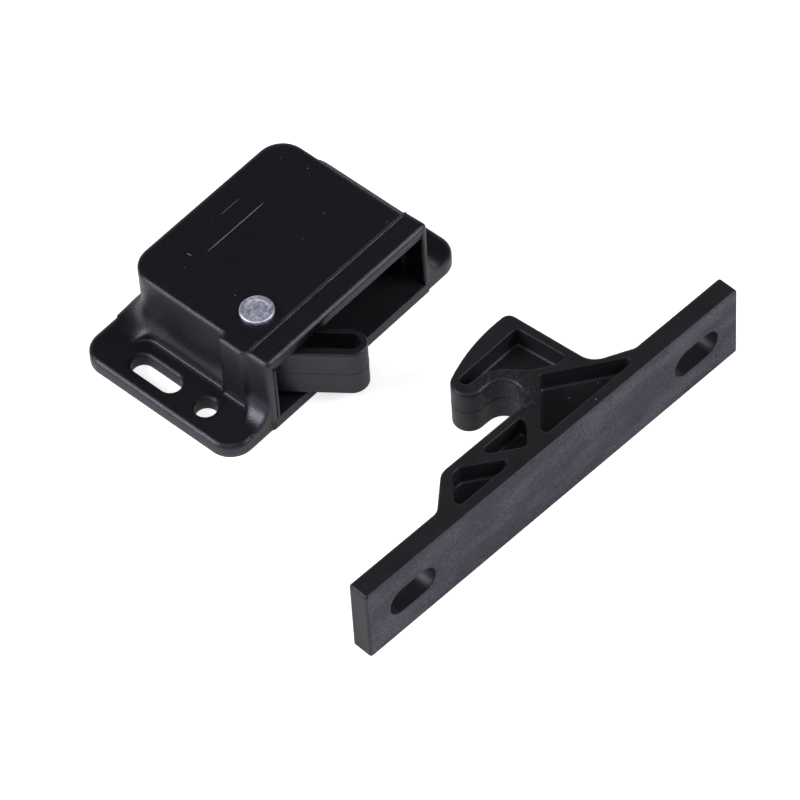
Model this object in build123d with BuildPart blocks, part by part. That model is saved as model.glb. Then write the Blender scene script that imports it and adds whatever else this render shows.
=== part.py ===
from build123d import *
from math import asin, atan2, cos, degrees, radians, sin, sqrt
import os

# Lever catch with its hook keeper, in millimetres. +Z is up, away from the mounting face.
# The mouth of the catch faces -Y. The origin is the middle of the two round screw holes,
# on the mounting face. The keeper stands beside the catch, hook towards the mouth.

os.makedirs("parts", exist_ok=True)

# Mounting flange of the housing
flange_length = 61.4
flange_depth = 37.6
flange_thickness = 3.0
flange_corner = 4.7
flange_edge_round = 0.8
hole_spacing = 51.6
hole_diameter = 4.4
hole_to_mouth = 11.2
mouth_to_flange = 0.3
ear_slot_width = 4.4
ear_slot_length = 11.3
ear_slot_back = 12.0
head_relief_side = 5.2
head_relief_front = 7.4
head_relief_back = 20.3
head_relief_corner = 3.5

# Box of the housing
box_center = 0.6
box_width = 40.7
box_height = 18.2
box_back = 23.7
box_corner = 5.2
box_edge_round = 0.5
web_radius = 4.9
web_root = 1.0
web_overlap = 2.0
collar_depth = 4.9
collar_step = 0.75
collar_rise = 0.3
collar_edge_round = 0.7
lip_round = 0.75
boss_step = 0.65
boss_depth = 6.4
boss_drop = 0.1
boss_blend = 1.0
boss_edge_round = 0.5

# Cavity and mouth
side_wall = 1.2
collar_wall_left = 1.3
collar_wall_right = 1.25
roof_thickness = 2.75
back_wall = 1.6
cavity_corner = 4.2
boss_wall = 1.4
stop_wall = 0.2
rebate_depth = 0.35
rebate_height = 1.2
groove_width = 0.25
groove_depth = 0.6

# Base plate
plate_thickness = 2.3
plate_clearance = 0.1
plate_ledge = 0.6
plate_corner = 3.0
tongue_gap = 0.3
tongue_thickness = 0.45
tongue_length = 4.4
tongue_height = 9.7
stake_radius = 1.5
stake_head_radius = 2.3
stake_head_height = 0.6
stake_hole_clearance = 0.1
stake_inset = 4.4

# Pivot rivet
rivet_from_left = 7.4
rivet_y = -1.3
rivet_radius = 2.0
rivet_head_radius = 3.15
rivet_head_height = 0.7
rivet_edge_round = 0.35
rivet_ring_radius = 2.15
rivet_ring_width = 0.3
rivet_ring_depth = 0.16
clinch_radius = 3.0
clinch_height = 0.8
clinch_recess = 0.15
running_clearance = 0.08

# Lever, measured along and across its arm from the pivot
lever_bottom = 3.6
lever_top_gap = 1.05
arm_angle = -52.4
arm_width = 6.34
arm_offset = 3.2
arm_reach = 16.4
hub_radius = 5.2
tail_thickness = 1.4
tail_root = 4.6
tail_spread = 50.0
thrust_ring_radius = 3.4
thrust_gap = 0.15
arm_pocket_start = 6.6
arm_pocket_width = 3.5
arm_pocket_depth = 4.3
arm_edge_round = 0.35
lug_reach = 7.0
lug_span = 18.0
lug_height = 6.0
stop_gap = 0.15

# Over-centre spring between the lever's tail and the back of the housing
spring_anchor_from_left = 13.65
spring_anchor_from_back = 4.1
spring_arm = 8.5
spring_arm_angle = 46.0
spring_diameter = 4.8
spring_wire = 0.8
spring_pitch = 1.95
spring_end_gap = 0.06
seat_width = 5.4
seat_drop = 9.2
nub_radius = 1.15
nub_length = 1.6

# Keeper: the bar stands on its long edge and its mounting face looks away from the catch
keeper_gap = 48.6
keeper_shift = 0.1
keeper_turn = -3.3
bar_length = 92.2
bar_height = 16.8
bar_thickness = 4.4
bar_edge_round = 0.5
keeper_slot_from_end = 10.65
keeper_slot_length = 11.0
keeper_slot_width = 6.3
hook_height = 10.2
platform = 9.9
platform_left = -18.3
platform_slope = 1.18
platform_corner_round = 3.2
slope_round = 2.6
hook_right = 16.6
hook_reach = 26.15
hook_corner_round = 1.8
hook_tip_x = -1.0
hook_tip_radius = 3.05
throat_x = 0.8
throat_radius = 3.7
gusset_length = 7.9
gusset_height = 3.5
gusset_foot_round = 2.2
gusset_head_round = 4.0
hook_edge_round = 0.6
pocket_foot = 2.35
pocket_depth = 4.2
pocket_round = 0.9
pocket_floor_round = 0.6
under_pocket_foot = 6.2
under_pocket_round = 0.4

mouth_y = -hole_to_mouth
ridge_y = mouth_y + collar_depth
flange_front = mouth_y + mouth_to_flange
box_left = box_center - box_width / 2
box_right = box_center + box_width / 2
collar_left = box_left - collar_step
collar_right = box_right + collar_step
collar_height = box_height + collar_rise
boss_left = collar_left - boss_step
boss_back = ridge_y + boss_depth
cavity_left = box_left + side_wall
cavity_right = box_right - side_wall
cavity_back = box_back - back_wall
cavity_top = box_height - roof_thickness
mouth_left = collar_left + collar_wall_left
mouth_right = collar_right - collar_wall_right
stop_y = boss_back - stop_wall
lever_top = cavity_top - lever_top_gap
lever_height = lever_top - lever_bottom
lever_middle = lever_bottom + lever_height / 2
rivet_x = box_left + rivet_from_left
plate_left = mouth_left - plate_ledge
plate_right = mouth_right + plate_ledge
plate_back = cavity_back + plate_ledge
pivot = Vector(rivet_x, rivet_y, 0)
stakes = [
    (cavity_left + stake_inset, cavity_back - stake_inset),
    (cavity_right - stake_inset, cavity_back - stake_inset),
]


def turned(length, angle):
    """A vector of this length at this angle from +X, in the XY plane."""
    return Vector(length * cos(radians(angle)), length * sin(radians(angle)), 0)


def flat(point):
    """The X and Y of a vector, as a sketch point."""
    return (point.X, point.Y)


spring_foot = pivot + turned(spring_arm, spring_arm_angle)
spring_anchor = Vector(box_left + spring_anchor_from_left, box_back - spring_anchor_from_back, 0)
spring_line = spring_anchor - spring_foot
spring_angle = degrees(atan2(spring_line.Y, spring_line.X))
spring_length = spring_line.length - 2 * spring_end_gap


# Concave webs between box and flange, swept round the box and along the two sides of the collar
with BuildPart() as webs:
    with BuildLine() as box_foot:
        FilletPolyline((box_left, ridge_y), (box_left, box_back), (box_right, box_back), (box_right, ridge_y),
                       radius=box_corner)
    web_starts = [
        (box_left, -1, ridge_y, box_foot.line),
        (collar_left, -1, flange_front, Line((collar_left, flange_front), (collar_left, ridge_y + web_overlap))),
        (collar_right, 1, flange_front, Line((collar_right, flange_front), (collar_right, ridge_y))),
    ]
    for wall, outward, start, foot in web_starts:
        web_plane = Plane(origin=(wall, start, flange_thickness), x_dir=(outward, 0, 0), z_dir=(0, 1, 0))
        with BuildSketch(web_plane) as web_profile:
            rise = -outward
            with BuildLine():
                web_arc = CenterArc((web_radius, rise * web_radius), web_radius, 180, rise * 90)
                Polyline(web_arc @ 1, (web_radius, -rise * web_root), (-web_root, -rise * web_root),
                         (-web_root, rise * web_radius), web_arc @ 0)
            make_face()
        sweep(path=foot)
    with BuildSketch() as web_limit:
        with Locations((0, flange_front + flange_depth / 2)):
            RectangleRounded(flange_length, flange_depth, flange_corner)
    extrude(amount=box_height, mode=Mode.INTERSECT)

    # Flat reliefs for the screw heads cut the webs back to the flange
    relief_depth = head_relief_back + head_relief_front
    with BuildSketch(Plane.XY.offset(flange_thickness)) as head_reliefs:
        for side in (-1, 1):
            with Locations((side * hole_spacing / 2, (head_relief_back - head_relief_front) / 2)):
                RectangleRounded(2 * head_relief_side, relief_depth, head_relief_corner)
    extrude(amount=box_height, mode=Mode.SUBTRACT)


# Housing: flange with two ears, box, mouth collar and pivot boss, one moulding
with BuildPart() as housing:
    with BuildSketch() as flange_outline:
        with Locations((0, flange_front + flange_depth / 2)):
            RectangleRounded(flange_length, flange_depth, flange_corner)
    extrude(amount=flange_thickness)
    rim = housing.edges().group_by(Axis.Z)[-1]
    fillet(rim, flange_edge_round)

    # Box with rounded back corners
    with BuildSketch() as box_outline:
        with Locations((box_center, (ridge_y + box_back) / 2)):
            Rectangle(box_width, box_back - ridge_y)
        fillet(box_outline.vertices().group_by(Axis.Y)[-1], box_corner)
    extrude(amount=box_height)
    box_rim = housing.faces().sort_by(Axis.Z)[-1].edges()
    fillet(box_rim.filter_by(lambda edge: edge.center().Y > ridge_y + 0.1), box_edge_round)

    # Collar round the mouth, its top rising a little to the lip
    with BuildSketch(Plane.YZ.offset(collar_left)) as collar_profile:
        with BuildLine():
            Polyline((mouth_y, 0), (mouth_y, collar_height), (ridge_y, box_height), (ridge_y, 0), close=True)
        make_face()
    extrude(amount=collar_right - collar_left)
    collar_top = housing.edges().filter_by(
        lambda edge: edge.center().Z > box_height + 0.1 and abs(edge.center().Y - (mouth_y + ridge_y) / 2) < 0.1
    )
    fillet(collar_top, collar_edge_round)
    lip = housing.edges().filter_by(Axis.X).filter_by(lambda edge: abs(edge.center().Z - collar_height) < 0.01)
    fillet(lip, lip_round)

    # Boss on the left wall, which makes room for the lever's stop lug and blends into the collar
    with BuildPart() as boss:
        with BuildSketch() as boss_outline:
            with BuildLine():
                Polyline(
                    (box_center, ridge_y),
                    (collar_left, ridge_y),
                    (boss_left, ridge_y + boss_blend),
                    (boss_left, boss_back),
                    (box_center, boss_back),
                    close=True,
                )
            make_face()
            fillet(boss_outline.vertices().sort_by(Axis.X)[:2], boss_edge_round)
        extrude(amount=box_height - boss_drop)
        boss_rim = boss.edges().group_by(Axis.Z)[-1].filter_by(lambda edge: edge.center().X < box_left)
        fillet(boss_rim, boss_edge_round)
    add(webs.part)

    # Cavity, open at the mouth and below
    with BuildSketch() as cavity_outline:
        with Locations(((cavity_left + cavity_right) / 2, (mouth_y - 1 + cavity_back) / 2)):
            Rectangle(cavity_right - cavity_left, cavity_back - mouth_y + 1)
        fillet(cavity_outline.vertices().group_by(Axis.Y)[-1], cavity_corner)
    extrude(amount=cavity_top, mode=Mode.SUBTRACT)
    for low, high in (
        ((mouth_left, mouth_y - 1), (box_center, stop_y)),
        ((box_center, mouth_y - 1), (mouth_right, ridge_y)),
        ((boss_left + boss_wall, ridge_y), (box_center, stop_y)),
    ):
        with BuildSketch() as widening:
            with Locations(((low[0] + high[0]) / 2, (low[1] + high[1]) / 2)):
                Rectangle(high[0] - low[0], high[1] - low[1])
        extrude(amount=cavity_top, mode=Mode.SUBTRACT)

    # Seat of the base plate
    with BuildSketch() as plate_seat:
        seat_low = (plate_left - plate_clearance, mouth_y - 1)
        seat_high = (plate_right + plate_clearance, plate_back + plate_clearance)
        with Locations(((seat_low[0] + seat_high[0]) / 2, (seat_low[1] + seat_high[1]) / 2)):
            Rectangle(seat_high[0] - seat_low[0], seat_high[1] - seat_low[1])
        fillet(plate_seat.vertices().group_by(Axis.Y)[-1], plate_corner + plate_clearance)
    extrude(amount=plate_thickness, mode=Mode.SUBTRACT)

    # Band up the left side of the mouth, above the base plate's tongue
    with BuildSketch(Plane.XY.offset(tongue_height + plate_clearance)) as mouth_band:
        with Locations((mouth_left + tongue_gap + tongue_thickness / 2, mouth_y + tongue_length / 2)):
            Rectangle(tongue_thickness, tongue_length)
    extrude(amount=cavity_top - tongue_height - plate_clearance)

    # Rebate and fine groove across the top of the mouth
    with BuildSketch(Plane.XZ.offset(-mouth_y)) as mouth_steps:
        with Locations(((mouth_left + mouth_right) / 2, cavity_top + rebate_height / 2)):
            Rectangle(mouth_right - mouth_left, rebate_height)
    extrude(amount=-rebate_depth, mode=Mode.SUBTRACT)
    with BuildSketch(Plane.XZ.offset(-mouth_y)) as mouth_groove:
        with Locations(((mouth_left + mouth_right) / 2, cavity_top + rebate_height + groove_width / 2)):
            Rectangle(mouth_right - mouth_left, groove_width)
    extrude(amount=-groove_depth, mode=Mode.SUBTRACT)

    # Posts that hold the base plate: their ends are melted over in counterbores
    for x, y in stakes:
        with BuildSketch(Plane.XY.offset(stake_head_height)) as post:
            with Locations((x, y)):
                Circle(stake_radius)
        extrude(amount=cavity_top - stake_head_height + 0.5)
        with BuildSketch(Plane.XY.offset(clinch_recess)) as head:
            with Locations((x, y)):
                Circle(stake_head_radius)
        extrude(amount=stake_head_height)

    # Spring seat: a block hanging from the roof at the back, with a nub into the spring
    seat_plane = Plane(origin=spring_anchor + Vector(0, 0, lever_middle), x_dir=turned(1, spring_angle - 90),
                       z_dir=-turned(1, spring_angle))
    with BuildSketch(Plane.XY.offset(cavity_top - seat_drop)) as seat_block:
        with BuildLine():
            across = turned(seat_width / 2, spring_angle - 90)
            Polyline(
                flat(spring_anchor - across),
                flat(spring_anchor + across),
                (spring_anchor.X + seat_width / 2, cavity_back + 0.5),
                (spring_anchor.X - seat_width / 2, cavity_back + 0.5),
                close=True,
            )
        make_face()
    extrude(amount=seat_drop + 0.5)
    with BuildSketch(seat_plane):
        Circle(nub_radius)
    extrude(amount=nub_length)

    # Screw holes, ear slots and the rivet hole
    for side in (-1, 1):
        with BuildSketch() as screw_openings:
            with Locations((side * hole_spacing / 2, 0)):
                Circle(hole_diameter / 2)
            with Locations((side * hole_spacing / 2, ear_slot_back)):
                SlotOverall(ear_slot_length, ear_slot_width, rotation=90)
        extrude(amount=flange_thickness, mode=Mode.SUBTRACT)
    with BuildSketch(Plane.XY.offset(cavity_top)) as rivet_hole:
        with Locations((rivet_x, rivet_y)):
            Circle(rivet_radius)
    extrude(amount=roof_thickness, mode=Mode.SUBTRACT)

housing.part.label = "housing"
export_step(housing.part, "parts/housing.step")


# Base plate: closes the box from below, with a thin tongue up the left side of the mouth
with BuildPart() as base_plate:
    with BuildSketch() as plate_outline:
        with Locations(((plate_left + plate_right) / 2, (mouth_y + plate_back) / 2)):
            Rectangle(plate_right - plate_left, plate_back - mouth_y)
        fillet(plate_outline.vertices().group_by(Axis.Y)[-1], plate_corner)
    extrude(amount=plate_thickness)
    with BuildSketch(Plane.XY.offset(plate_thickness)) as tongue:
        with Locations((mouth_left + tongue_gap + tongue_thickness / 2, mouth_y + tongue_length / 2)):
            Rectangle(tongue_thickness, tongue_length)
    extrude(amount=tongue_height - plate_thickness)
    with BuildSketch() as shank_hole:
        with Locations((rivet_x, rivet_y)):
            Circle(rivet_radius)
    extrude(amount=plate_thickness, mode=Mode.SUBTRACT)
    with BuildSketch() as clinch_counterbore:
        with Locations((rivet_x, rivet_y)):
            Circle(clinch_radius + plate_clearance)
    extrude(amount=clinch_recess + clinch_height, mode=Mode.SUBTRACT)
    for x, y in stakes:
        with BuildSketch() as stake_hole:
            with Locations((x, y)):
                Circle(stake_radius + stake_hole_clearance)
        extrude(amount=plate_thickness, mode=Mode.SUBTRACT)
        with BuildSketch() as stake_counterbore:
            with Locations((x, y)):
                Circle(stake_head_radius + stake_hole_clearance)
        extrude(amount=clinch_recess + stake_head_height, mode=Mode.SUBTRACT)

base_plate.part.label = "base_plate"
export_step(base_plate.part, "parts/base_plate.step")


# Pivot rivet: ringed head on the roof, shank through the lever, clinched under the plate
with BuildPart() as pivot_rivet:
    with BuildSketch(Plane.XZ) as rivet_profile:
        head_top = box_height + rivet_head_height
        clinch_top = clinch_recess + clinch_height
        with BuildLine():
            Polyline(
                (0, clinch_recess),
                (clinch_radius - 0.3, clinch_recess),
                (clinch_radius, clinch_recess + 0.3),
                (clinch_radius, clinch_top),
                (rivet_radius, clinch_top),
                (rivet_radius, box_height),
                (rivet_head_radius, box_height),
                (rivet_head_radius, head_top - rivet_edge_round),
            )
            RadiusArc((rivet_head_radius, head_top - rivet_edge_round),
                      (rivet_head_radius - rivet_edge_round, head_top), -rivet_edge_round)
            Polyline(
                (rivet_head_radius - rivet_edge_round, head_top),
                (rivet_ring_radius + rivet_ring_width / 2, head_top),
                (rivet_ring_radius, head_top - rivet_ring_depth),
                (rivet_ring_radius - rivet_ring_width / 2, head_top - 0.05),
                (0, head_top - 0.05),
                (0, clinch_recess),
            )
        make_face()
    revolve(axis=Axis.Z)
    pivot_rivet.part.locate(Location((rivet_x, rivet_y, 0)))

pivot_rivet.part.label = "pivot_rivet"
export_step(pivot_rivet.part, "parts/pivot_rivet.step")


# Lever: hub on the rivet, cored arm out of the mouth, tail that the spring pushes on
arm_plane = Plane(origin=pivot, x_dir=turned(1, arm_angle), z_dir=(0, 0, 1))
with BuildPart() as latch_lever:
    arm_root = pivot - turned(arm_offset, arm_angle + 90)
    arm_tip = arm_root + turned(arm_reach, arm_angle)
    with BuildSketch(Plane.XY.offset(lever_bottom)) as lever_outline:
        with Locations(flat(pivot)):
            Circle(hub_radius)
        with Locations(Location(flat((arm_root + arm_tip) / 2), arm_angle)):
            Rectangle(arm_reach, arm_width)
        with Locations(flat(arm_tip)):
            Circle(arm_width / 2)
        with BuildLine():
            across = turned(seat_width / 2, spring_angle - 90)
            Polyline(
                flat(spring_foot - across),
                flat(spring_foot + across),
                flat(spring_foot + across - turned(tail_thickness, spring_angle)),
                flat(pivot + turned(tail_root, spring_arm_angle - tail_spread)),
                flat(pivot + turned(tail_root, spring_arm_angle + tail_spread)),
                close=True,
            )
        make_face()
    extrude(amount=lever_height)
    fillet(latch_lever.edges().group_by(Axis.Z)[-1] + latch_lever.edges().group_by(Axis.Z)[0], arm_edge_round)

    # Thrust rings keep the lever in the middle of the cavity
    with BuildSketch(arm_plane.offset(plate_thickness + thrust_gap)) as thrust_ring:
        Circle(thrust_ring_radius)
    extrude(amount=cavity_top - plate_thickness - 2 * thrust_gap)

    # Stop lug, inside the boss of the housing
    with BuildSketch(Plane.XY.offset(lever_middle - lug_height / 2)) as lug:
        with BuildLine():
            lug_start = 180 - degrees(asin((stop_y - stop_gap - rivet_y) / lug_reach))
            start = pivot + turned(lug_reach, lug_start)
            end = pivot + turned(lug_reach, lug_start + lug_span)
            middle = pivot + turned(lug_reach, lug_start + lug_span / 2)
            ThreePointArc(flat(start), flat(middle), flat(end))
            Polyline(flat(end), flat(pivot), flat(start))
        make_face()
    extrude(amount=lug_height)

    # Nub inside the end of the spring
    foot_plane = Plane(origin=spring_foot + Vector(0, 0, lever_middle), x_dir=turned(1, spring_angle - 90),
                       z_dir=turned(1, spring_angle))
    with BuildSketch(foot_plane):
        Circle(nub_radius)
    extrude(amount=nub_length)

    # Coring pockets in the arm, above and below, and the bore
    pocket_length = arm_reach - arm_pocket_start + arm_pocket_width / 2 + 0.3
    for plane, sense in ((arm_plane.offset(lever_top), -1), (arm_plane.offset(lever_bottom), 1)):
        with BuildSketch(plane) as arm_pocket:
            with Locations((arm_pocket_start + pocket_length / 2, -arm_offset + 0.15)):
                SlotOverall(pocket_length, arm_pocket_width)
        extrude(amount=sense * arm_pocket_depth, mode=Mode.SUBTRACT)
    with BuildSketch(arm_plane) as bore:
        Circle(rivet_radius + running_clearance)
    extrude(amount=box_height, mode=Mode.SUBTRACT)

latch_lever.part.label = "latch_lever"
export_step(latch_lever.part, "parts/latch_lever.step")


# Over-centre spring: open coil, its axis along the line from the lever's nub to the seat
spring_start = spring_foot + turned(spring_end_gap + spring_wire / 2, spring_angle) + Vector(0, 0, lever_middle)
spring_plane = Plane(origin=spring_start, x_dir=(0, 0, 1), z_dir=turned(1, spring_angle))
coil_radius = (spring_diameter - spring_wire) / 2
with BuildPart() as spring:
    with BuildLine():
        coil = Helix(pitch=spring_pitch, height=spring_length - spring_wire, radius=coil_radius)
    with BuildSketch(Plane(origin=coil @ 0, z_dir=coil % 0)):
        Circle(spring_wire / 2)
    sweep(path=coil, is_frenet=True)
    spring.part.locate(spring_plane.location)

spring.part.label = "over_center_spring"
export_step(spring.part, "parts/over_center_spring.step")


# Keeper: bar with two slots and a cored hook, one moulding
keeper_plane = Plane(
    origin=turned(keeper_shift, keeper_turn) + Vector(0, mouth_y - keeper_gap, 0),
    x_dir=turned(1, keeper_turn),
    z_dir=(0, 0, 1),
)
face_plane = Plane(origin=keeper_plane.origin, x_dir=keeper_plane.x_dir, z_dir=-keeper_plane.y_dir)
hook_bottom = bar_height - hook_height
throat_y = platform + throat_radius
barb_y = throat_y + throat_radius
tip_low = (hook_tip_x, barb_y)
tip_left = (hook_tip_x - hook_tip_radius, barb_y + hook_tip_radius)
tip_high = (hook_tip_x - 0.4 * hook_tip_radius, barb_y + 1.93 * hook_tip_radius)
hook_corner = (hook_right - 1.5, hook_reach)
gusset_foot = (hook_right + gusset_length, bar_thickness)
gusset_head = (hook_right + 0.5, bar_thickness + gusset_height)
slope_foot = (platform_left - (platform - bar_thickness) * platform_slope, bar_thickness)
pockets = {
    "hook": [(-2.5, 21.9), (13.4, 22.5), (14.8, 11.3), (12.2, 11.8), (8.2, 14.2), (5.2, 17.9), (2.6, 19.5),
             (-1.6, 19.9)],
    "gusset": [(8.6, 12.3), (23.9, pocket_foot), (-1.2, pocket_foot)],
    "middle": [(0.8, 8.1), (-4.1, 2.8), (-12.1, 8.1)],
    "left": [(-22.4, pocket_foot), (-6.9, pocket_foot), (-15.3, 8.1), (-17.2, 8.1)],
}
with BuildPart() as keeper:
    with BuildSketch(keeper_plane) as bar_outline:
        with Locations((0, bar_thickness / 2)):
            Rectangle(bar_length, bar_thickness)
        fillet(bar_outline.vertices(), bar_edge_round)
    extrude(amount=bar_height)

    with BuildSketch(keeper_plane.offset(hook_bottom)) as hook_outline:
        with BuildLine():
            Line(tip_low, (throat_x, barb_y))
            ThreePointArc((throat_x, barb_y), (throat_x + throat_radius, throat_y), (throat_x, platform))
            Polyline(
                (throat_x, platform),
                (platform_left, platform),
                slope_foot,
                (slope_foot[0], bar_thickness / 2),
                (gusset_foot[0], bar_thickness / 2),
                gusset_foot,
                gusset_head,
                hook_corner,
            )
            ThreePointArc(hook_corner, (hook_right - 11.8, hook_reach - 0.75), tip_high)
            ThreePointArc(tip_high, tip_left, tip_low)
        make_face()
    extrude(amount=hook_height)

    # Rounded corners of the hook, the platform and the gusset
    def upright(x, y):
        """The upright edge of the keeper nearest to this place on its plan."""
        place = keeper_plane.from_local_coords(Vector(x, y, bar_height - hook_height / 2))
        edges = keeper.edges().filter_by(Axis.Z)
        return edges.sort_by(lambda edge: (edge.center() - place).length)[0]

    fillet(upright(*hook_corner), hook_corner_round)
    fillet(upright(platform_left, platform), platform_corner_round)
    fillet(upright(*gusset_head), gusset_head_round)
    fillet(upright(*gusset_foot), gusset_foot_round)
    fillet(upright(*slope_foot), slope_round)

    # Softened rim of the hook and of the bar's back
    top_rim = keeper.faces().sort_by(Axis.Z)[-1].outer_wire().edges()
    back_rim = top_rim.filter_by(lambda edge: keeper_plane.to_local_coords(edge.center()).Y > bar_edge_round)
    fillet(back_rim, hook_edge_round)

    # Coring pockets from above, and from below where the web stands clear of the bar
    for outline in pockets.values():
        with BuildSketch(keeper_plane.offset(bar_height)) as pocket:
            with BuildLine():
                Polyline(*outline, close=True)
            make_face()
            fillet(pocket.vertices(), pocket_round)
        extrude(amount=-pocket_depth, mode=Mode.SUBTRACT)
        with BuildSketch(keeper_plane.offset(hook_bottom)) as under_pocket:
            with BuildLine():
                Polyline(*outline, close=True)
            make_face()
            with Locations((0, under_pocket_foot - bar_length / 2)):
                Rectangle(bar_length, bar_length, mode=Mode.SUBTRACT)
            fillet(under_pocket.vertices(), under_pocket_round)
        extrude(amount=pocket_depth, mode=Mode.SUBTRACT)

    floor_z = bar_height - pocket_depth
    floors = keeper.faces().filter_by(Axis.Z).filter_by(lambda face: abs(face.center().Z - floor_z) < 0.01)
    fillet(floors.edges(), pocket_floor_round)

    # Screw slots through the bar
    with BuildSketch(face_plane.offset(0)) as bar_slots:
        slot_x = bar_length / 2 - keeper_slot_from_end
        with Locations((-slot_x, bar_height / 2), (slot_x, bar_height / 2)):
            SlotOverall(keeper_slot_length, keeper_slot_width)
    extrude(amount=-bar_thickness, mode=Mode.SUBTRACT)

keeper.part.label = "keeper"
export_step(keeper.part, "parts/keeper.step")
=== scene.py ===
# %% [markdown]
# # A lever catch and its keeper
# This lesson dresses a small cabinet catch for its picture. The measured solids come from the
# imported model: a black box with two screw ears, a lever that swings out of its mouth, and a
# keeper bar with a hook. Here they get their finishes, the coil spring inside the box is worked
# out turn by turn, and a camera, a floor and soft lamps are set up round them.

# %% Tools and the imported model
import math

import bpy
import numpy as np
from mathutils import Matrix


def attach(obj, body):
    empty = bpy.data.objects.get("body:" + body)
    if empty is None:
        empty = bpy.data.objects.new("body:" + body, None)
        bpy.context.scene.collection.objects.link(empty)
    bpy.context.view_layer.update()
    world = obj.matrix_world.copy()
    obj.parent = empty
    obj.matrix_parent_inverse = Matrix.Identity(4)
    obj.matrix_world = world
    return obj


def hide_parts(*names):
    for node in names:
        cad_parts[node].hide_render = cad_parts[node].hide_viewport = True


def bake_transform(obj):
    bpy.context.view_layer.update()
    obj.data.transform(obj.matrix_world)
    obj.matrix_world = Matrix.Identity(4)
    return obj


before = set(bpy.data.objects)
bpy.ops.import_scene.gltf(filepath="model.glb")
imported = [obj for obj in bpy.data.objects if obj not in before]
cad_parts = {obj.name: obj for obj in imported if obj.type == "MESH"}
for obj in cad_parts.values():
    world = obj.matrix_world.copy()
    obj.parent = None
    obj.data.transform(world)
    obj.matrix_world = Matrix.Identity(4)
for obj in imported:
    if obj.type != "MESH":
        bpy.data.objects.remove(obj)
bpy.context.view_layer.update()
MM = 0.001
print("nodes:", sorted(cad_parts))

# %% [markdown]
# ## The camera
# The photograph was taken from in front and well above, with a long lens, so parallel edges
# hardly run together. A camera can be placed by hand until the picture looks right, but then it
# is hard to say why it stands there. Here azimuth, elevation, roll and distance were worked out
# from the straight edges of the box and the bar. The image is square: a lens of 244.8 mm on a
# 36 mm sensor gives the same narrow angle of view.

# %% Camera
AZIMUTH, ELEVATION, ROLL = (math.radians(a) for a in (-45.3, 51.59, -3.94))
LENS, SENSOR = 244.8, 36
DISTANCE, ASIDE, ABOVE = 962.9, 22.12, 5.365
AIM = np.array([-20.1, -11.2, 0.0])

right = np.array([math.cos(AZIMUTH), math.sin(AZIMUTH), 0.0])
back = np.array([
    math.sin(AZIMUTH) * math.cos(ELEVATION),
    -math.cos(AZIMUTH) * math.cos(ELEVATION),
    math.sin(ELEVATION),
])
up = np.cross(back, right)
rolled_right = math.cos(ROLL) * right + math.sin(ROLL) * up
rolled_up = -math.sin(ROLL) * right + math.cos(ROLL) * up
camera_place = MM * (ASIDE * rolled_right + ABOVE * rolled_up + DISTANCE * back + AIM)

camera_data = bpy.data.cameras.new("camera")
camera_data.lens = LENS
camera_data.sensor_width = SENSOR
camera_data.clip_start = 0.05
camera_data.clip_end = 20
camera = bpy.data.objects.new("camera", camera_data)
bpy.context.scene.collection.objects.link(camera)
matrix = np.eye(4)
matrix[:3] = np.column_stack([rolled_right, rolled_up, back, camera_place])
camera.matrix_world = matrix.T.tolist()
bpy.context.scene.camera = camera
print("camera in mm:", np.round(camera_place / MM, 1))

# %% [markdown]
# ## Nodes of a material
# Each finish of the catch is a small tree of shader nodes that reads Object coordinates, so a
# grain keeps its real size in millimetres and stays where it is on the piece. Such trees can be
# wired by hand in the shader editor. Built by a few short helpers, they can be read like
# sentences and made again with other numbers.

# %% Helpers for shader trees
def add(tree, kind, inputs=(), **settings):
    """Adds a shader node; inputs maps a socket to a value or to another node's output."""
    node = tree.nodes.new(kind)
    for name, value in settings.items():
        setattr(node, name, value)
    for socket, value in dict(inputs).items():
        if isinstance(value, bpy.types.NodeSocket):
            tree.links.new(value, node.inputs[socket])
        else:
            node.inputs[socket].default_value = value
    return node


def material(name):
    """A new material and its tree, which is still empty."""
    made = bpy.data.materials.new(name)
    made.use_nodes = True
    tree = made.node_tree
    tree.nodes.clear()
    return made, tree


def grain(tree, place, size_mm, detail=2.0):
    """Noise whose blobs are about size_mm across."""
    return add(tree, "ShaderNodeTexNoise", {
        "Vector": place, "Scale": 1 / (size_mm * MM), "Detail": detail,
    }).outputs["Fac"]


def between(tree, factor, low, high, low_in=0.0, high_in=1.0):
    """Maps factor from low_in..high_in to low..high."""
    return add(tree, "ShaderNodeMapRange", {
        "Value": factor, "From Min": low_in, "From Max": high_in, "To Min": low, "To Max": high,
    }).outputs["Result"]


def times(tree, first, second):
    """The product of two values."""
    return add(tree, "ShaderNodeMath", {0: first, 1: second}, operation="MULTIPLY").outputs[0]


def mixed(tree, factor, first, second):
    """Mixes two colours by factor; each is a colour or another node's output."""
    node = add(tree, "ShaderNodeMix", data_type="RGBA")
    tree.links.new(factor, node.inputs["Factor"])
    for socket, value in ((6, first), (7, second)):
        if isinstance(value, bpy.types.NodeSocket):
            tree.links.new(value, node.inputs[socket])
        else:
            node.inputs[socket].default_value = (*value, 1)
    return node.outputs[2]


print("helpers:", ", ".join(helper.__name__ for helper in (add, material, grain, between, times, mixed)))

# %% [markdown]
# ## Black acetal
# The mouldings are black acetal: a dense, slightly waxy plastic whose reflections are a little
# blue. The colour hardly changes over a piece, the gloss does, so the grain works on roughness
# and on a fine bump. The mould also leaves rounded edges, the bright lines of the photograph. The
# solids have their roundings, and a Bevel node spreads the shading of the edges a little wider,
# over 1.3 mm on the housing and less on the other pieces. Rounding the meshes further would do it
# too, but that would change the measured part. A few specks of dust lie on faces that look up.

# %% Black acetal
ACETAL_IOR = 1.48
BLUE_SHEEN = (0.80, 0.80, 1.0, 1)
SKIN_DARK, SKIN_PALE = (0.0042, 0.0042, 0.0056), (0.0056, 0.0056, 0.0072)


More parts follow.
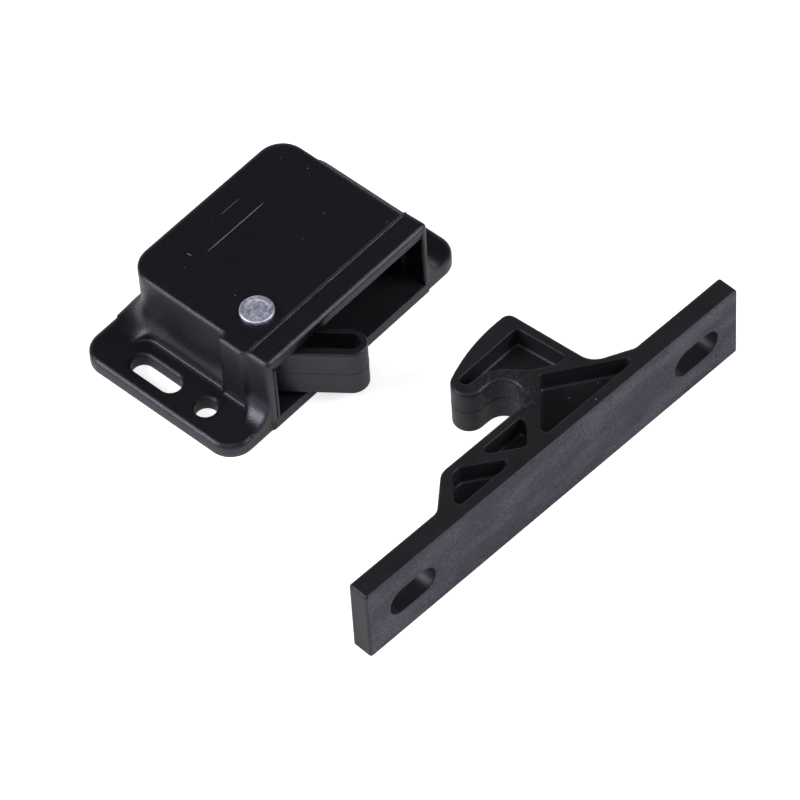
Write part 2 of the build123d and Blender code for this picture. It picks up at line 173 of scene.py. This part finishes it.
def soft_edges(tree, radius_mm):
    """The surface's normal with its edges rounded over radius_mm."""
    return add(tree, "ShaderNodeBevel", {"Radius": radius_mm * MM}, samples=6).outputs[0]


def dust(tree, place, cell_mm, speck_mm):
    """Sparse specks on faces that look up: one in each second cell of cell_mm, all of another size."""
    cells = add(tree, "ShaderNodeTexVoronoi", {
        "Vector": place, "Scale": 1 / (cell_mm * MM), "Randomness": 1.0,
    }, voronoi_dimensions="2D")
    chance = add(tree, "ShaderNodeSeparateColor", {0: cells.outputs["Color"]}).outputs[0]
    reach = between(tree, chance, 0.0001, speck_mm / cell_mm, 0.5, 1.0)
    from_middle = add(tree, "ShaderNodeMath", {
        0: cells.outputs["Distance"], 1: reach,
    }, operation="DIVIDE").outputs[0]
    speck = between(tree, from_middle, 1, 0, 0.4, 1.0)
    facing = add(tree, "ShaderNodeSeparateXYZ", {0: add(tree, "ShaderNodeNewGeometry").outputs["Normal"]})
    upward = between(tree, facing.outputs["Z"], 0, 1, 0.95, 0.99)
    return times(tree, speck, upward)


def black_acetal(name, dark, pale, gloss, rough, edge_mm):
    """Moulded black plastic: colour between dark and pale, roughness between gloss and rough."""
    made, tree = material(name)
    place = add(tree, "ShaderNodeTexCoord").outputs["Object"]
    fine = grain(tree, place, size_mm=0.42, detail=2.0)
    slow = grain(tree, place, size_mm=5.0, detail=3.0)
    skin = mixed(tree, between(tree, slow, 0, 1, 0.3, 0.7), dark, pale)
    tone = mixed(tree, dust(tree, place, cell_mm=6.0, speck_mm=0.2), skin, (0.10, 0.10, 0.12))
    relief = add(tree, "ShaderNodeBump", {
        "Height": fine, "Strength": 1.0, "Distance": 0.05 * MM, "Normal": soft_edges(tree, edge_mm),
    })
    shader = add(tree, "ShaderNodeBsdfPrincipled", {
        "Base Color": tone, "Roughness": between(tree, fine, gloss, rough, 0.3, 0.7),
        "Normal": relief.outputs[0], "IOR": ACETAL_IOR,
        "Specular IOR Level": 0.64, "Specular Tint": BLUE_SHEEN,
    })
    add(tree, "ShaderNodeOutputMaterial", {"Surface": shader.outputs[0]})
    return made


housing_finish = black_acetal("housing_acetal", SKIN_DARK, SKIN_PALE, 0.28, 0.37, edge_mm=1.3)
line_finish = black_acetal("mould_line_acetal", SKIN_DARK, SKIN_PALE, 0.32, 0.40, edge_mm=0.02)
lever_finish = black_acetal(
    "lever_acetal", (0.0055, 0.0055, 0.0065), (0.0075, 0.0075, 0.0085), 0.36, 0.44, edge_mm=0.1)
plate_finish = black_acetal(
    "base_plate_acetal", (0.0095, 0.0095, 0.0115), (0.0125, 0.0125, 0.0150), 0.36, 0.46, edge_mm=0.5)
print("acetal finishes:", housing_finish.name, line_finish.name, lever_finish.name, plate_finish.name)

# %% [markdown]
# ## The keeper's two finishes
# The keeper's hook and ribs have the same skin as the catch, but its mounting face is the plain
# side of the tool, spark-eroded to a matte, greyer texture, and the lever has scuffed the hook's
# throat. The faces could be given materials of their own, but a switch inside one material leaves
# the solid's mesh alone. The material turns the coordinates into the bar's own directions and
# changes over where the depth behind the mounting face is less than a tenth of a millimetre. On
# that face a slow, stretched noise makes the cloudy streaks of the photograph.

# %% Keeper finish
KEEPER_TURN = math.radians(-3.3)
KEEPER_PLACE = (0.0998 * MM, -59.806 * MM, 0.0)
THROAT_X, THROAT_Y = 0.8, 13.6


def eroded_face(tree, local, coarse):
    """Matte grey grain of the mounting face, paler where a slow noise, stretched along the bar, is high."""
    stretched = add(tree, "ShaderNodeMapping", {"Vector": local, "Scale": (0.6, 1.0, 1.6)}).outputs[0]
    clouds = grain(tree, stretched, size_mm=9.0, detail=4.0)
    pits = between(tree, coarse, 0, 1, 0.38, 0.62)
    matte = mixed(tree, pits, (0.016, 0.016, 0.023), (0.048, 0.048, 0.064))
    bloom = mixed(tree, pits, (0.036, 0.036, 0.048), (0.082, 0.082, 0.104))
    return mixed(tree, between(tree, clouds, 0, 1, 0.45, 0.62), matte, bloom)


def throat_scuffs(tree, place, apart):
    """Scratched patches that fade with the distance from the throat's middle, in the bar's own plane."""
    flat = add(tree, "ShaderNodeCombineXYZ", {0: apart.outputs["X"], 1: apart.outputs["Y"]}).outputs[0]
    distance = add(tree, "ShaderNodeVectorMath", {
        0: flat, 1: (THROAT_X * MM, THROAT_Y * MM, 0.0),
    }, operation="DISTANCE").outputs["Value"]
    near = between(tree, distance, 1, 0, 3.6 * MM, 6.5 * MM)
    patches = between(tree, grain(tree, place, size_mm=0.55, detail=5.0), 0, 1, 0.50, 0.66)
    return times(tree, near, patches)


def keeper_acetal():
    """Black acetal with a coarser, paler texture on the mounting face and scuffs round the throat."""
    made, tree = material("keeper_acetal")
    place = add(tree, "ShaderNodeTexCoord").outputs["Object"]
    local = add(tree, "ShaderNodeMapping", {
        "Vector": place, "Location": KEEPER_PLACE, "Rotation": (0, 0, KEEPER_TURN),
    }, vector_type="TEXTURE").outputs[0]
    apart = add(tree, "ShaderNodeSeparateXYZ", {0: local})
    face = between(tree, apart.outputs["Y"], 1, 0, 0.05 * MM, 0.15 * MM)
    fine = grain(tree, place, size_mm=0.32, detail=2.0)
    coarse = grain(tree, place, size_mm=0.38, detail=3.0)
    slow = grain(tree, place, size_mm=6.0, detail=3.0)

    blotches = between(tree, slow, 0, 1, 0.3, 0.7)
    skin = mixed(tree, blotches, (0.0100, 0.0100, 0.0114), (0.0138, 0.0138, 0.0154))
    skin = mixed(tree, throat_scuffs(tree, place, apart), skin, (0.045, 0.045, 0.050))
    skin = mixed(tree, dust(tree, place, cell_mm=6.0, speck_mm=0.26), skin, (0.14, 0.14, 0.16))
    tone = mixed(tree, face, skin, eroded_face(tree, local, coarse))
    rough = add(tree, "ShaderNodeMix", {0: face, 2: 0.42, 3: 0.60}).outputs[0]
    height = add(tree, "ShaderNodeMix", {0: face, 2: fine, 3: coarse}).outputs[0]
    relief = add(tree, "ShaderNodeBump", {
        "Height": height, "Strength": 1.0, "Distance": 0.035 * MM, "Normal": soft_edges(tree, 0.5),
    })
    shader = add(tree, "ShaderNodeBsdfPrincipled", {
        "Base Color": tone, "Roughness": rough, "Normal": relief.outputs[0], "IOR": ACETAL_IOR,
        "Specular IOR Level": 0.42, "Specular Tint": BLUE_SHEEN,
    })
    add(tree, "ShaderNodeOutputMaterial", {"Surface": shader.outputs[0]})
    return made


keeper_finish = keeper_acetal()
print("keeper finish:", keeper_finish.name)

# %% [markdown]
# ## Metals
# The rivet is aluminium, faced by the tool that clinched it: fine rings round its axis, then a
# light scatter of handling marks. The spring is drawn steel wire, smooth and a little darker. A
# metal's look is nearly all reflection, so both trees spend their nodes on roughness and relief,
# and the colour only sets how pale the reflections are.

# %% Metal finishes
RIVET_AXIS = (-12.35 * MM, -1.3 * MM, 0.0)


def rivet_aluminium():
    """Satin aluminium with fine rings round the rivet's axis."""
    made, tree = material("rivet_aluminium")
    place = add(tree, "ShaderNodeTexCoord").outputs["Object"]
    local = add(tree, "ShaderNodeMapping", {
        "Vector": place, "Location": RIVET_AXIS,
    }, vector_type="TEXTURE").outputs[0]
    rings = add(tree, "ShaderNodeTexWave", {
        "Vector": local, "Scale": 900.0, "Distortion": 1.5, "Detail": 2.0, "Detail Scale": 2.0,
    }, wave_type="RINGS", rings_direction="Z").outputs["Fac"]
    specks = grain(tree, place, size_mm=0.6, detail=5.0)
    marks = between(tree, specks, 0, 1, 0.35, 0.65)
    turned = add(tree, "ShaderNodeBump", {"Height": rings, "Strength": 0.25, "Distance": 0.01 * MM})
    relief = add(tree, "ShaderNodeBump", {
        "Height": specks, "Strength": 0.5, "Distance": 0.04 * MM, "Normal": turned.outputs[0],
    })
    shader = add(tree, "ShaderNodeBsdfPrincipled", {
        "Base Color": mixed(tree, marks, (0.52, 0.53, 0.65), (0.74, 0.75, 0.90)), "Metallic": 1.0,
        "Roughness": between(tree, specks, 0.50, 0.64, 0.35, 0.65), "Normal": relief.outputs[0],
    })
    add(tree, "ShaderNodeOutputMaterial", {"Surface": shader.outputs[0]})
    return made


def spring_steel():
    """Drawn steel wire: smooth, with a faint unevenness."""
    made, tree = material("spring_steel")
    place = add(tree, "ShaderNodeTexCoord").outputs["Object"]
    drawn = grain(tree, place, size_mm=0.25, detail=3.0)
    tone = mixed(tree, between(tree, drawn, 0, 1, 0.3, 0.7), (0.36, 0.36, 0.37), (0.48, 0.48, 0.49))
    shader = add(tree, "ShaderNodeBsdfPrincipled", {
        "Base Color": tone, "Metallic": 1.0, "Roughness": between(tree, drawn, 0.26, 0.36, 0.3, 0.7),
    })
    add(tree, "ShaderNodeOutputMaterial", {"Surface": shader.outputs[0]})
    return made


rivet_finish = rivet_aluminium()
spring_finish = spring_steel()
print("metal finishes:", rivet_finish.name, spring_finish.name)

# %% [markdown]
# ## Dressing the CAD nodes
# The housing, base plate, lever, keeper and rivet are solids with the right shapes already. They
# could be modelled again in Blender, but then the picture and the measured part would drift
# apart. So each keeps its mesh, and only its material slots are filled.

# %% Finishes on the nodes
FINISHES = {
    "housing": housing_finish,
    "base_plate": plate_finish,
    "latch_lever": lever_finish,
    "keeper": keeper_finish,
    "pivot_rivet": rivet_finish,
}


def dress(node, finish):
    """Puts one finish into every material slot of a CAD node."""
    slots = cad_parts[node].material_slots
    for place in slots:
        place.material = finish
    if not slots:
        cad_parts[node].data.materials.append(finish)


for node, finish in FINISHES.items():
    dress(node, finish)
print("dressed:", ", ".join(FINISHES))

# %% [markdown]
# ## Surfaces from a grid
# Each new piece below is a sheet of points with rows and columns, bent into shape by a formula.
# Blender's own primitives and modifiers could make some of them, but one formula for each shape
# is exact, quick, and says in one place what the shape is. The helper joins neighbouring points
# by four-sided faces, closes the tube and its ends, and lets the piece ride on its body.

# %% Surface helper
def surface(name, points, finish, body):
    """Makes a tube from a grid of points, shape (rows, columns, 3): columns run round, rows along.

    The last column joins the first one, and the first and last rows are closed by a face each.
    With no body, the piece is left unattached.
    """
    rows, columns = points.shape[:2]
    index = np.arange(rows * columns).reshape(rows, columns)
    ring = np.hstack([index, index[:, :1]])
    quads = np.stack([ring[:-1, :-1], ring[:-1, 1:], ring[1:, 1:], ring[1:, :-1]], axis=-1).reshape(-1, 4)
    ends = [index[0, ::-1].tolist(), index[-1].tolist()]
    mesh = bpy.data.meshes.new(name)
    mesh.from_pydata(points.reshape(-1, 3).tolist(), [], quads.tolist() + ends)
    mesh.shade_smooth()
    mesh.materials.append(finish)
    piece = bpy.data.objects.new(name, mesh)
    bpy.context.scene.collection.objects.link(piece)
    if body:
        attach(piece, body)
    print(name, rows * columns, "vertices")
    return piece


# %% [markdown]
# ## A coil spring, worked out with arrays
# The spring pushes the lever over its dead centre: it holds it open, and then holds it shut. A
# Screw modifier could wind it, but a real compression spring closes up at both ends, which a
# formula gives more easily. The coil is a circle of wire carried along a helix: one parameter
# runs along the wire, the other round it. At the two ends the pitch falls to a fifth, so the last
# turns lie close together.

# %% Over-centre spring
SPRING_FOOT = np.array([-6.4454, 4.8144, 9.0]) * MM
SPRING_SEAT = np.array([-6.1, 19.6, 9.0]) * MM
WIRE = 0.8 * MM
COIL = 2.0 * MM


def coil_points(start, end, coil, wire, turns=7.0, closed=0.9, tight=0.25, across=14, along=520):
    """Circle of wire carried along a helix whose pitch closes up at both ends.

    The helix goes round by t and forward by s(t), where s rises slowly near both ends; the wire's
    circle lies in the plane of the outward direction and the binormal of the helix.
    """
    axis = end - start
    length = np.linalg.norm(axis)
    axis /= length
    side = np.cross(axis, [0.0, 0.0, 1.0])
    side /= np.linalg.norm(side)
    lift = np.cross(side, axis)
    t = np.linspace(0, turns, along)
    rate = np.clip(np.minimum(t, turns - t) / closed, 0, 1)
    rate = tight + rate * rate * (3 - 2 * rate)
    s = np.concatenate([[0.0], np.cumsum((rate[1:] + rate[:-1]) / 2)])
    s = wire / 2 + s / s[-1] * (length - wire)
    angle = 2 * np.pi * t
    outward = np.cos(angle)[:, None] * side + np.sin(angle)[:, None] * lift
    centre = start + outward * coil + s[:, None] * axis
    tangent = np.gradient(centre, axis=0)
    tangent /= np.linalg.norm(tangent, axis=1, keepdims=True)
    binormal = np.cross(tangent, outward)
    v = np.linspace(0, 2 * np.pi, across, endpoint=False)
    ring = np.cos(v)[None, :, None] * outward[:, None] + np.sin(v)[None, :, None] * binormal[:, None]
    return centre[:, None] + ring * wire / 2


coils = coil_points(SPRING_FOOT, SPRING_SEAT, COIL, WIRE)
spring = surface("coil_spring", coils, spring_finish, None)
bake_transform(spring)
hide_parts("over_center_spring")
print("spring:", round(float(np.linalg.norm(SPRING_SEAT - SPRING_FOOT)) / MM, 2), "mm long")

# %% [markdown]
# ## Fine lines of the mould
# A real moulding shows where its tool came apart: a parting line round the arm and another round
# the hook, and thin raised lines on the roof. They could be painted by a bump texture, but a
# real ridge catches the light from every side. Each is a raised cosine carried along a path.
# `swept` does the carrying: at each point of the path, side is the path's direction crossed with
# the face's outward direction, and the section is drawn in side and outward.

# %% A section along a path
SUNK, JUST_SUNK = 0.06 * MM, 0.01 * MM


def swept(path, outward, section, scale=None):
    """Carries section points (side, out) along path.

    Each point is path + side * (direction x outward) + out * outward, and scale makes the section
    larger or smaller along the way.
    """
    direction = np.gradient(path, axis=0)
    direction /= np.linalg.norm(direction, axis=1, keepdims=True)
    side = np.cross(direction, outward)
    grow = np.ones(len(path)) if scale is None else scale
    offset = grow[:, None, None] * section[None]
    return path[:, None] + side[:, None] * offset[..., :1] + outward[:, None] * offset[..., 1:]


def ridge_section(width, height, across=11):
    """Raised cosine from edge to edge, closed by a strip that lies just under the face."""
    side = np.linspace(width / 2, -width / 2, across)
    out = height * np.cos(np.pi * side / width) ** 2 - JUST_SUNK
    foot = np.array([[-width / 2, -SUNK], [width / 2, -SUNK]])
    return np.vstack([np.column_stack([side, out]), foot])


def straight(start, end, count):
    """Evenly spaced points, in metres, from start to end, which are in mm."""
    return np.linspace(start, end, count) * MM


def arc(centre, radius, first, last, count):
    """Points of a flat arc, in metres, and their outward directions; centre and radius are in mm.

    Each point is the centre plus radius times (cos, sin, 0) of an angle between first and last.
    """
    angle = np.radians(np.linspace(first, last, count))
    spoke = np.column_stack([np.cos(angle), np.sin(angle), np.zeros(count)])
    return (np.array(centre) + radius * spoke) * MM, spoke


def raised(name, path, outward, width, height, finish, body):
    """A narrow ridge along a path, running out at both ends.

    outward is one direction or one for each point; width and height are in mm. The section starts
    at 0.3 of its size and is full after two points.
    """
    outward = np.broadcast_to(np.asarray(outward, float), path.shape)
    from_end = np.minimum(np.arange(len(path)), np.arange(len(path))[::-1])
    run_out = np.clip(0.3 + 0.35 * from_end, 0, 1)
    section = ridge_section(width * MM, height * MM)
    return surface(name, swept(path, outward, section, run_out), finish, body)


print("ridge section:", len(ridge_section(0.3 * MM, 0.1 * MM)), "points round")

# %% [markdown]
# ## The parting line of the arm
# The lever was moulded between two halves that met at mid height, so a hair-thin ridge goes along
# one side of the arm, round its nose and back along the other side. The path is two straight
# stretches and a half circle, worked out from the arm's middle line and its half width. The
# ridge rides on the lever and turns with it.

# %% Parting line of the lever's arm
ARM_ROOT = np.array([-14.885, -3.2525, 9.0])
ARM_TIP = np.array([-4.879, -16.246, 9.0])
ARM_HALF = 3.17
ARM_ANGLE = -52.4
LINE_START = 0.35

leftward = math.radians(ARM_ANGLE + 90)
beside = np.array([math.cos(leftward), math.sin(leftward), 0.0])
inside = ARM_ROOT + LINE_START * (ARM_TIP - ARM_ROOT)
nose, nose_out = arc(ARM_TIP, ARM_HALF, ARM_ANGLE + 90, ARM_ANGLE - 90, 40)
one_side = straight(inside + ARM_HALF * beside, ARM_TIP + ARM_HALF * beside, 12)[:-1]
other_side = straight(ARM_TIP - ARM_HALF * beside, inside - ARM_HALF * beside, 12)[1:]
arm_path = np.vstack([one_side, nose, other_side])
arm_out = np.vstack([np.tile(beside, (len(one_side), 1)), nose_out, np.tile(-beside, (len(other_side), 1))])
raised("arm_parting_line", arm_path, arm_out, 0.22, 0.07, lever_finish, "lever")

# %% [markdown]
# ## The parting line of the hook
# The keeper's mould parted at the middle of the hook's height, and left a fine ridge round the tip
# and into the throat. In the shared frame the bar stands slightly turned, so the points would be
# awkward numbers. The path is drawn in the keeper's own directions instead, an arc, a short
# straight and a hollow arc, and then turned and moved as a whole.

# %% Parting line of the keeper's hook
PARTING_HEIGHT = 11.7
TIP_X, TIP_Y, TIP_RADIUS = -1.0, 20.35, 3.05
THROAT_RADIUS = 3.7
FLANK_Y = THROAT_Y + THROAT_RADIUS


def in_keeper(points, directions):
    """Turns and moves points and directions from the keeper's own frame into the shared frame."""
    turn = np.array([
        [math.cos(KEEPER_TURN), -math.sin(KEEPER_TURN), 0.0],
        [math.sin(KEEPER_TURN), math.cos(KEEPER_TURN), 0.0],
        [0.0, 0.0, 1.0],
    ])
    return points @ turn.T + np.array(KEEPER_PLACE), directions @ turn.T


tip, tip_out = arc((TIP_X, TIP_Y, PARTING_HEIGHT), TIP_RADIUS, 113.6, 270.0, 44)
flank = straight((TIP_X, FLANK_Y, PARTING_HEIGHT), (THROAT_X, FLANK_Y, PARTING_HEIGHT), 6)[1:-1]
throat, throat_out = arc((THROAT_X, THROAT_Y, PARTING_HEIGHT), THROAT_RADIUS, 90.0, -90.0, 44)
hook_path = np.vstack([tip, flank, throat])
hook_out = np.vstack([tip_out, np.tile([0.0, -1.0, 0.0], (len(flank), 1)), -throat_out])
raised("hook_parting_line", *in_keeper(hook_path, hook_out), 0.24, 0.07, keeper_finish, "catch")

# %% [markdown]
# ## Raised lines on the roof and the collar
# The roof shows the joints of the tool's inserts as three thin lines, and a low ridge runs
# along the back of the collar. All are straight, so two ends and a width are enough. They use the
# finish with hardly any softening of the edges, because a wide bevel would swallow so narrow a
# ridge.

# %% Raised lines on the roof and the collar
ROOF = 18.2
UP = (0.0, 0.0, 1.0)
for name, start, end, width in [
    ("roof_line", (-8.9, 14.8, ROOF), (8.1, 14.8, ROOF), 0.30),
    ("roof_tick", (-10.4, 17.4, ROOF), (-10.3, 16.2, ROOF), 0.30),
    ("roof_faint_line", (-0.2, 18.85, ROOF), (5.05, 18.8, ROOF), 0.16),
]:
    raised(name, straight(start, end, 12), UP, width, 0.45 * width, line_finish, "catch")
ridge_path = straight((-20.3, -6.3, ROOF), (21.5, -6.3, ROOF), 70)
raised("collar_ridge", ridge_path, UP, 0.85, 0.2, line_finish, "catch")

# %% [markdown]
# ## Rounded feet of the walls
# Where the walls beside the screw slot stand on the ear, the tool leaves a small hollow rounding,
# seen in the photograph as a bright line. A fillet in the solid would be one way. As a thin
# piece laid into the corner it needs no change to the measured part. Its section is a quarter
# circle between wall and floor, and at the far end, where the wall runs out into the web, the
# rounding shrinks.

# %% Hollow roundings
EAR_TOP = 3.0
FOOT_RADIUS = 0.4
RELIEF_SIDE, RELIEF_CORNER, CORNER_RADIUS = -20.6, 16.8, 3.5
BOSS_SIDE = -21.15


def hollow_section(radius, across=9):
    """Quarter circle that leaves the floor level and meets the wall upright, closed behind both faces."""
    v = np.linspace(0, np.pi / 2, across)
    curve = np.column_stack([radius * (1 - np.sin(v)), radius * (1 - np.cos(v))])
    behind = np.array([[-SUNK / 2, radius + SUNK], [-SUNK, -SUNK], [radius + SUNK, -SUNK / 2]])
    return np.vstack([curve, behind])


def rounded_foot(name, path, scale=None):
    """A hollow rounding laid along the foot of one of the catch's walls; scale shrinks it on the way."""
    outward = np.tile(UP, (len(path), 1))
    points = swept(path, outward, hollow_section(FOOT_RADIUS * MM), scale)
    return surface(name, points, line_finish, "catch")


corner, _ = arc((RELIEF_SIDE - CORNER_RADIUS, RELIEF_CORNER, EAR_TOP), CORNER_RADIUS, 74.0, 0.0, 20)
wall = straight((RELIEF_SIDE, RELIEF_CORNER, EAR_TOP), (RELIEF_SIDE, 0.2, EAR_TOP), 20)[1:]
relief_path = np.vstack([corner, wall])
rounded_foot("relief_foot", relief_path, np.clip(np.linspace(0.25, 3.0, len(relief_path)), 0, 1))
rounded_foot("boss_foot", straight((BOSS_SIDE, 0.0, EAR_TOP), (BOSS_SIDE, -5.6, EAR_TOP), 12))

# %% [markdown]
# ## The rivet's face
# The head is faced with a shallow dish and a rounded rim. Every cross-section through its axis is
# the same, so it is a surface of revolution: one profile turned round. The radius goes out from
# the middle, the height follows a smooth step at the edge of the dish, then a quarter circle
# leads over the rim and down to the roof.

# %% Rivet face
HEAD_RADIUS, HEAD_TOP, RIM_ROUND = 3.18, 18.99, 0.35
DISH_DEPTH, DISH_EDGE, DISH_SLOPE = 0.12, 1.85, 0.5


def turned_points(profile, centre, across=96):
    """Profile (radius, height) turned round the vertical axis through centre.

    Each point is (centre x + radius cos angle, centre y + radius sin angle, height).
    """
    angle = np.linspace(0, 2 * np.pi, across, endpoint=False)
    x = centre[0] + profile[:, :1] * np.cos(angle)
    y = centre[1] + profile[:, :1] * np.sin(angle)
    z = np.broadcast_to(profile[:, 1:], x.shape)
    return np.stack([x, y, z], axis=-1)


rim_radius = HEAD_RADIUS - RIM_ROUND
face_radius = np.linspace(0.04, rim_radius, 50)
step = np.clip((face_radius - DISH_EDGE) / DISH_SLOPE, 0, 1)
face_height = HEAD_TOP - DISH_DEPTH + DISH_DEPTH * step * step * (3 - 2 * step)
face = np.column_stack([face_radius, face_height])
over = np.radians(np.linspace(90, 0, 12)[1:])
rim = np.column_stack([np.cos(over), np.sin(over)]) * RIM_ROUND + [rim_radius, HEAD_TOP - RIM_ROUND]
profile = np.vstack([face, rim, [[HEAD_RADIUS, ROOF - 0.05]]]) * MM
surface("rivet_face", turned_points(profile, RIVET_AXIS), rivet_finish, "catch")

# %% [markdown]
# ## Floor
# Product pictures like this one are shot on white. A white floor can be had by pouring light on
# it, but that would wash out the object too. Here the floor is a plain pale sheet, and the
# camera sees it brighter than it is lit, so it comes out white and keeps only a faint
# shadow. Mirror rays see it a little brighter too. Nothing else about the light changes.

# %% Floor
CAMERA_LIFT, MIRROR_LIFT = 0.72, 0.16
FLOOR_HALF = 3.0
FLOOR_DROP = 0.02 * MM


def floor_white():
    """Pale diffuse floor, lifted for the camera and a little for mirror and glass rays."""
    made, tree = material("floor_white")
    path = add(tree, "ShaderNodeLightPath")
    seen = add(tree, "ShaderNodeMath", {
        0: path.outputs["Is Glossy Ray"], 1: path.outputs["Is Transmission Ray"],
    }, operation="MAXIMUM").outputs[0]
    lift = add(tree, "ShaderNodeMath", {
        0: path.outputs["Is Camera Ray"], 1: CAMERA_LIFT, 2: times(tree, seen, MIRROR_LIFT),
    }, operation="MULTIPLY_ADD").outputs[0]
    glow = add(tree, "ShaderNodeEmission", {"Color": (1, 1, 1, 1), "Strength": lift})
    paper = add(tree, "ShaderNodeBsdfDiffuse", {"Color": (0.85, 0.85, 0.85, 1)})
    both = add(tree, "ShaderNodeAddShader", {0: paper.outputs[0], 1: glow.outputs[0]})
    add(tree, "ShaderNodeOutputMaterial", {"Surface": both.outputs[0]})
    return made


floor_mesh = bpy.data.meshes.new("floor")
floor_corners = [(x * FLOOR_HALF, y * FLOOR_HALF, 0) for x, y in ((-1, -1), (1, -1), (1, 1), (-1, 1))]
floor_mesh.from_pydata(floor_corners, [], [(0, 1, 2, 3)])
floor_mesh.materials.append(floor_white())
floor = bpy.data.objects.new("floor", floor_mesh)
bpy.context.scene.collection.objects.link(floor)
floor.location.z = -FLOOR_DROP
print("floor:", 2 * FLOOR_HALF, "m wide")

# %% [markdown]
# ## Light
# Black plastic is read by what it mirrors. Its flat tops mirror the dark room, its upright sides
# the white floor, and its rounded edges two tall walls of light, one at the back left and one at
# the front right. One big lamp overhead would grey the whole roof instead. Both walls start a
# little above the horizon, so a thin dark line stays under each bright one. A low strip at the
# back draws the far edges, and a weak softbox fills the hollows.

# %% Lamps and world
OBJECT_MIDDLE = (0.0, -0.02, 0.005)
LAMPS = {
    "back_left_wall": ((-1.20, 0.67, 0.80), (0.8, 1.1), 22),
    "front_right_wall": ((0.70, -1.22, 0.80), (0.8, 1.1), 18),
    "back_right_strip": ((1.10, 1.10, 0.28), (2.2, 0.45), 3),
    "overhead_softbox": ((-0.75, -0.45, 1.5), (1.0, 1.0), 6),
}


def lamp(name, place, size, power):
    """A rectangular area lamp at place, aimed at the object's middle; size in metres, power in watts."""
    data = bpy.data.lights.new(name, "AREA")
    data.shape = "RECTANGLE"
    data.size, data.size_y = size
    data.energy = power
    made = bpy.data.objects.new(name, data)
    bpy.context.scene.collection.objects.link(made)
    away = np.array(place, float) - np.array(OBJECT_MIDDLE)
    away /= np.linalg.norm(away)
    across = np.cross([0, 0, 1.0], away)
    across /= np.linalg.norm(across)
    turn = np.eye(4)
    turn[:3] = np.column_stack([across, np.cross(away, across), away, place])
    made.matrix_world = turn.T.tolist()


for name, (place, size, power) in LAMPS.items():
    lamp(name, place, size, power)

world = bpy.data.worlds.new("studio")
world.use_nodes = True
bpy.context.scene.world = world
room = world.node_tree.nodes["Background"]
room.inputs["Color"].default_value = (1, 1, 1, 1)
room.inputs["Strength"].default_value = 0.10
bpy.context.scene.view_settings.view_transform = "Standard"
print("lamps:", ", ".join(LAMPS))
